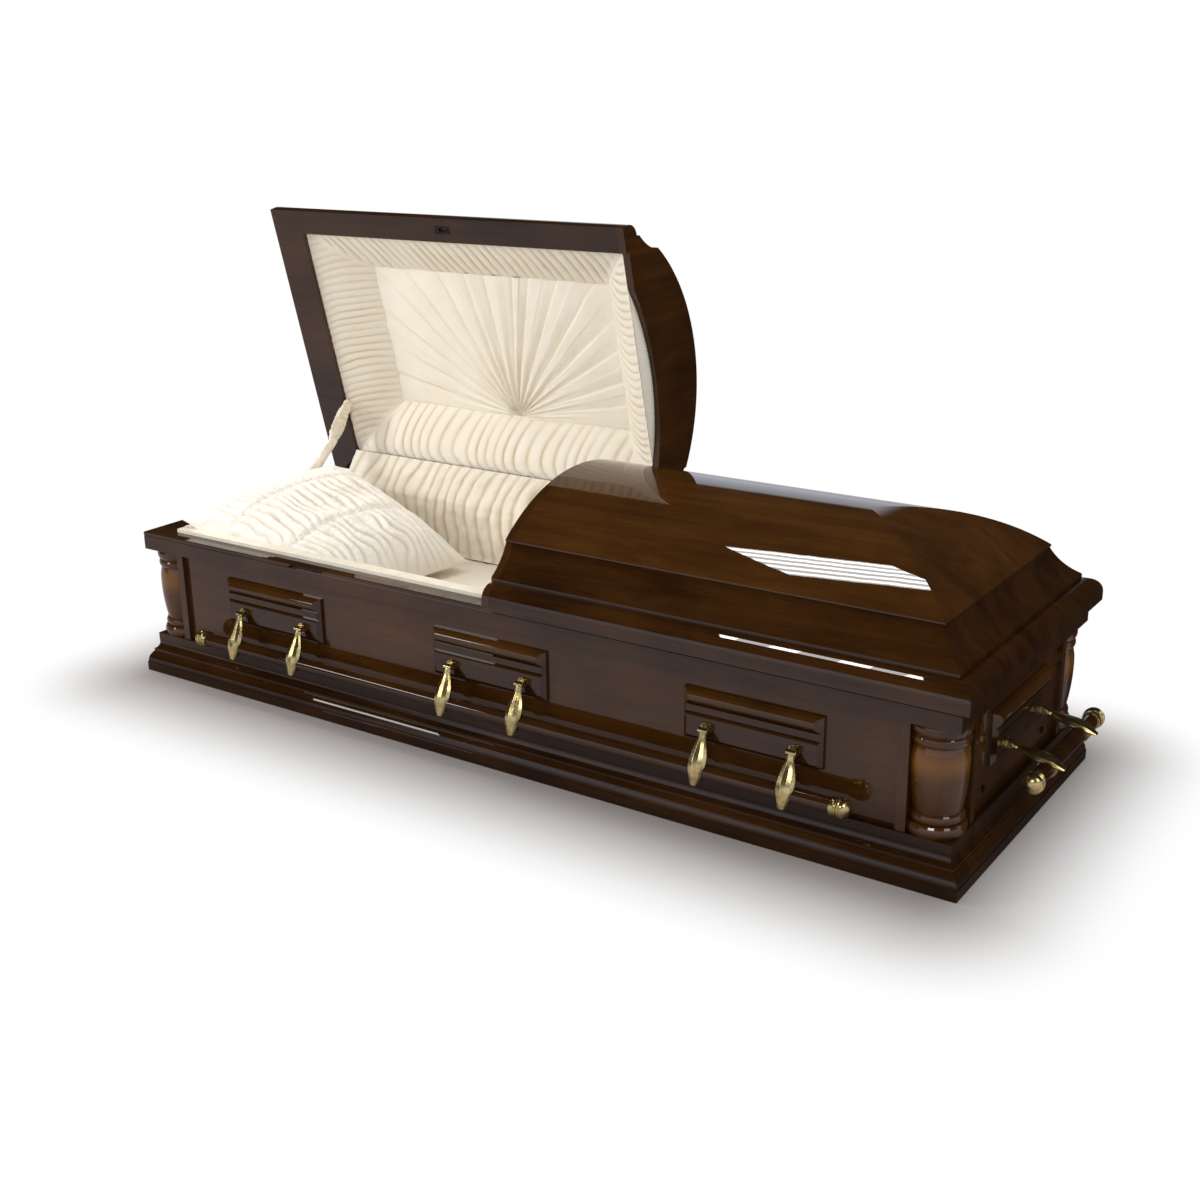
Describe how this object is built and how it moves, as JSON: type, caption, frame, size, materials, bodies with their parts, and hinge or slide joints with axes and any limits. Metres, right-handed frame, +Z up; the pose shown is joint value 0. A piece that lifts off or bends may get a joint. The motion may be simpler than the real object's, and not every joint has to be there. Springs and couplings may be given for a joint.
{
  "type": "funeral casket",
  "caption": "Half-couch wooden funeral casket with domed lids, turned corner columns, swing-bar handles, lid stay, bed, pillow and pleated lid lining.",
  "frame": {"origin": "centre of the plan on the underside of the base, z = 0 at the floor", "axes": "+X towards the foot end, -Y towards the front with the lids' opening side, +Y the hinge side, +Z up"},
  "size_m": [2.2549, 0.8969, 1.0866],
  "materials": {
    "lacquered_wood": "high-gloss lacquer over dark stained hardwood with amber shading",
    "plain_wood": "plain sawn board",
    "antique_brass": "antique, brushed",
    "hinge_metal": "zinc plated",
    "dark_metal": "dark, satin",
    "cream_trim": "cream, glossy",
    "cream_fabric": "cream crepe, pleated"
  },
  "bodies": {
    "casket": {"bottom_board": "plain_wood", "base_moldings": "lacquered_wood", "side_walls": "lacquered_wood", "end_walls": "lacquered_wood", "corner_posts": "lacquered_wood", "column_front_head": "lacquered_wood", "column_front_foot": "lacquered_wood", "column_rear_foot": "lacquered_wood", "column_rear_head": "lacquered_wood", "top_rails": "lacquered_wood", "end_plugs": "dark_metal", "plate_front_head": "lacquered_wood", "plate_front_middle": "lacquered_wood", "plate_front_foot": "lacquered_wood", "plate_rear_head": "lacquered_wood", "plate_rear_middle": "lacquered_wood", "plate_rear_foot": "lacquered_wood", "plate_foot_end": "lacquered_wood", "plate_head_end": "lacquered_wood", "ears_front": "antique_brass", "ears_foot": "antique_brass", "ears_rear": "antique_brass", "ears_head": "antique_brass", "rail_locks": "dark_metal", "rail_strip": "cream_trim", "wall_lining": "cream_fabric", "bed_bearers": "plain_wood", "mattress": "cream_fabric", "pillow": "cream_fabric", "hinge_leaves": "hinge_metal", "stay_seat": "hinge_metal"},
    "handle_front": {"arms_front": "antique_brass", "bar_front": "lacquered_wood", "caps_front": "antique_brass"},
    "handle_foot": {"arms_foot": "antique_brass", "bar_foot": "lacquered_wood", "caps_foot": "antique_brass"},
    "handle_rear": {"arms_rear": "antique_brass", "bar_rear": "lacquered_wood", "caps_rear": "antique_brass"},
    "handle_head": {"arms_head": "antique_brass", "bar_head": "lacquered_wood", "caps_head": "antique_brass"},
    "head_lid": {"head_rim": "lacquered_wood", "head_molding": "lacquered_wood", "head_crown": "lacquered_wood", "head_header": "lacquered_wood", "head_border": "cream_fabric", "head_panel": "cream_fabric", "head_catch": "dark_metal", "head_hinges": "hinge_metal", "stay_ear": "hinge_metal"},
    "foot_lid": {"foot_rim": "lacquered_wood", "foot_molding": "lacquered_wood", "foot_crown": "lacquered_wood", "foot_header": "lacquered_wood", "foot_catch": "dark_metal", "foot_hinges": "hinge_metal"},
    "stay_upper": {"stay_upper": "hinge_metal"},
    "stay_lower": {"stay_lower": "hinge_metal"}
  },
  "joints": [
    {"name": "head_lid_hinge", "type": "hinge", "parent": "casket", "child": "head_lid", "pos_m": [-0.5, 0.3646, 0.3742], "axis": [-1, 0, 0], "range_deg": [-76.6, 0]},
    {"name": "foot_lid_hinge", "type": "hinge", "parent": "casket", "child": "foot_lid", "pos_m": [0.5, 0.3646, 0.3742], "axis": [-1, 0, 0], "range_deg": [0, 76.6]},
    {"name": "front_handle_swing", "type": "hinge", "parent": "casket", "child": "handle_front", "pos_m": [0, -0.352, 0.206], "axis": [-1, 0, 0], "range_deg": [0, 54]},
    {"name": "rear_handle_swing", "type": "hinge", "parent": "casket", "child": "handle_rear", "pos_m": [0, 0.352, 0.206], "axis": [1, 0, 0], "range_deg": [0, 54]},
    {"name": "foot_handle_swing", "type": "hinge", "parent": "casket", "child": "handle_foot", "pos_m": [1.0555, 0, 0.206], "axis": [0, -1, 0], "range_deg": [-54, 0]},
    {"name": "head_handle_swing", "type": "hinge", "parent": "casket", "child": "handle_head", "pos_m": [-1.0555, 0, 0.206], "axis": [0, 1, 0], "range_deg": [0, 54]},
    {"name": "stay_upper_pivot", "type": "hinge", "parent": "head_lid", "child": "stay_upper", "pos_m": [-0.965, 0.31231, 0.56693], "axis": [-1, 0, 0], "range_deg": [-34.87, 0]},
    {"name": "stay_elbow", "type": "hinge", "parent": "stay_upper", "child": "stay_lower", "pos_m": [-0.962, 0.23904, 0.477], "axis": [-1, 0, 0], "range_deg": [0, 151.7]}
  ],
  "couplings": [
    {"joint": "stay_upper_pivot", "follows": "head_lid_hinge", "ratio": 0.4552},
    {"joint": "stay_elbow", "follows": "head_lid_hinge", "ratio": -1.9797}
  ]
}
